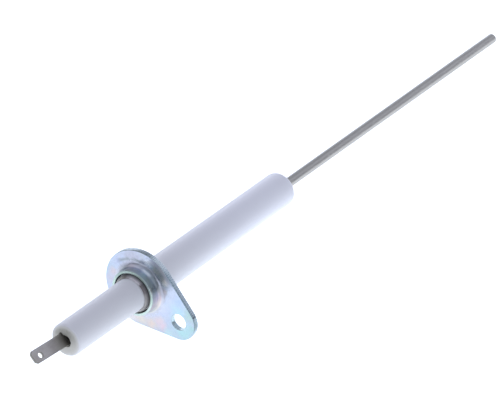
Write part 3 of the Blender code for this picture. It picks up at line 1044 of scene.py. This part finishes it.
def make_packing():
    """Pressed mineral packing with fine turns, with painted shade towards the neck's wall and in patches
    round it.
    """
    make = Nodes("packing")
    turn = make.math("ADD", make.math("DIVIDE", make.around_axis(), 2 * pi), 0.5)
    turn = make.math("ADD", turn, make.math("MULTIPLY_ADD", make.noise(0.0015, 3.0), 0.06, -0.03))
    # the ramp's dark stops are painted shade
    color = make.ramp(turn, PACKING_TINTS_AND_SHADE)
    wave = make.math("SINE", make.math("MULTIPLY", make.from_axis(), 2 * pi / 0.00028))
    color = make.mix(make.mapped(wave, -1.0, 1.0, 0.0, 0.12), color, (0.14, 0.12, 0.11))
    blotch = make.noise(0.0005, 4.0)
    color = make.mix(make.mapped(blotch, 0.4, 0.7, 0.0, 0.25), color, (0.40, 0.38, 0.35))
    # painted shade: darker towards the neck's wall
    gap_shade = make.mapped(make.from_axis(), 0.00625, 0.00690, 0.0, 0.80)
    color = make.mix(gap_shade, color, (0.10, 0.10, 0.10))
    normal = make.bump(wave, 0.00003, 0.6)
    return make.finish(color, 0.55, normal)


def make_cement():
    """Matt refractory cement with blotches and a coarse surface."""
    make = Nodes("cement")
    blotch = make.noise(0.0009, 5.0)
    color = make.mix(make.mapped(blotch, 0.3, 0.7), (0.50, 0.48, 0.42), (0.68, 0.66, 0.60))
    normal = make.bump(make.noise(0.0003, 5.0), 0.00008)
    return make.finish(color, 0.9, normal)


# ---------------------------------------------------------------- stage, light and camera


def build_floor():
    """A pale glowing table under the flange's lower edge and the rod's tip."""
    low = Vector((0.0, 0.0, FLANGE_LOW.z))
    tip = Vector((ROD_HIGH.x, 0.0, ROD_LOW.z))
    slope = (tip - low).normalized()
    mesh = bpy.data.meshes.new("floor")
    shape = bmesh.new()
    bmesh.ops.create_grid(shape, x_segments=2, y_segments=2, size=TABLE_SIZE)
    shape.to_mesh(mesh)
    shape.free()
    floor = bpy.data.objects.new("floor", mesh)
    normal = Vector((-slope.z, 0.0, slope.x))
    turned = normal.to_track_quat("Z", "Y").to_matrix().to_4x4()
    floor.matrix_world = Matrix.Translation(low - normal * TABLE_GAP) @ turned
    mesh.materials.append(make_table())
    bpy.context.scene.collection.objects.link(floor)


def make_table():
    """A pale glow that the camera sees everywhere; the light it gives back fades to one side."""
    make = Nodes("pale_floor", roughness=0.8)
    make.shader.inputs["Emission Color"].default_value = (*TABLE_GLOW, 1.0)
    right = (cos(CAMERA_HEADING), -sin(CAMERA_HEADING), 0.0)
    place = make.add("ShaderNodeNewGeometry").outputs["Position"]
    away = make.mapped(make.vector_math("DOT_PRODUCT", place, right), *TABLE_FADE)
    seen = make.add("ShaderNodeLightPath").outputs["Is Camera Ray"]
    away = make.math("MULTIPLY", away, make.math("SUBTRACT", 1.0, seen))
    glow = make.mapped(away, 0.0, 1.0, 1.0, TABLE_DIM, smooth=False)
    make.put(make.shader.inputs["Emission Strength"], glow)
    return make.finish(make.ramp(away, TABLE_TINTS))


def build_world():
    """A soft studio: an overhead light, and walls whose brightness differs on each side."""
    world = bpy.data.worlds.new("studio")
    world.use_nodes = True
    make = Nodes(world)
    direction = make.add("ShaderNodeTexCoord").outputs["Generated"]
    height = make.vector_math("DOT_PRODUCT", direction, (0.0, 0.0, 1.0))
    overhead = make.mapped(height, SKY_EDGE[0], SKY_EDGE[1])
    flat = make.vector_math("NORMALIZE", make.vector_math("MULTIPLY", direction, (1.0, 1.0, 0.0)))
    color = (0.0, 0.0, 0.0)
    for turn, wall in zip((0.0, 90.0, 180.0, 270.0), (SKY_BACK, SKY_RIGHT, SKY_FRONT, SKY_LEFT)):
        angle = CAMERA_HEADING + radians(turn)
        facing = make.vector_math("DOT_PRODUCT", flat, (sin(angle), cos(angle), 0.0))
        share = make.math("POWER", make.math("MAXIMUM", facing, 0.0), 2.0)
        color = make.mix(share, color, wall, "ADD")
    color = make.mix(overhead, color, SKY_OVERHEAD)
    seen = make.add("ShaderNodeLightPath").outputs["Is Camera Ray"]
    color = make.mix(seen, color, BACKDROP)
    make.put(world.node_tree.nodes["Background"].inputs["Color"], color)
    bpy.context.scene.world = world
    bpy.context.scene.view_settings.view_transform = "Standard"


def build_camera():
    view = Vector(
        (
            sin(CAMERA_HEADING) * cos(CAMERA_ELEVATION),
            cos(CAMERA_HEADING) * cos(CAMERA_ELEVATION),
            -sin(CAMERA_ELEVATION),
        )
    )
    level = view.cross(Vector((0.0, 0.0, 1.0))).normalized()
    upright = level.cross(view)
    right = level * cos(CAMERA_ROLL) + upright * sin(CAMERA_ROLL)
    up = upright * cos(CAMERA_ROLL) - level * sin(CAMERA_ROLL)
    data = bpy.data.cameras.new("camera")
    data.lens = CAMERA_LENS
    data.sensor_width = SENSOR_WIDTH
    data.clip_end = 100.0
    camera = bpy.data.objects.new("camera", data)
    rotation = Matrix((right, up, -view)).transposed().to_4x4()
    camera.matrix_world = Matrix.Translation(CAMERA_AIM - view * CAMERA_DISTANCE) @ rotation
    bpy.context.scene.collection.objects.link(camera)
    bpy.context.scene.camera = camera


def main():
    zinc = make_zinc()
    cut_steel = make_cut_steel()
    alumina = make_alumina()
    packing = make_packing()
    cement = make_cement()
    build_flange(zinc, cut_steel)
    build_insulator(alumina)
    build_rod(make_heat_alloy(), make_rod_end())
    build_tab(make_tab_steel(), make_tab_edge())
    build_front_ring(packing)
    build_rear_ring(packing)
    neck_inner = FLAME_R + GAP
    cement_ring("neck_cement", "flange_cement", FLANGE_CEMENT_BOX, neck_inner, cement, NECK_CEMENT_SKEW)
    cement_ring("tip_cement", "flame_end_cement", FLAME_CEMENT_BOX, ROD_R + GAP, cement)
    build_root_cement(cement)
    build_floor()
    build_world()
    build_camera()


main()
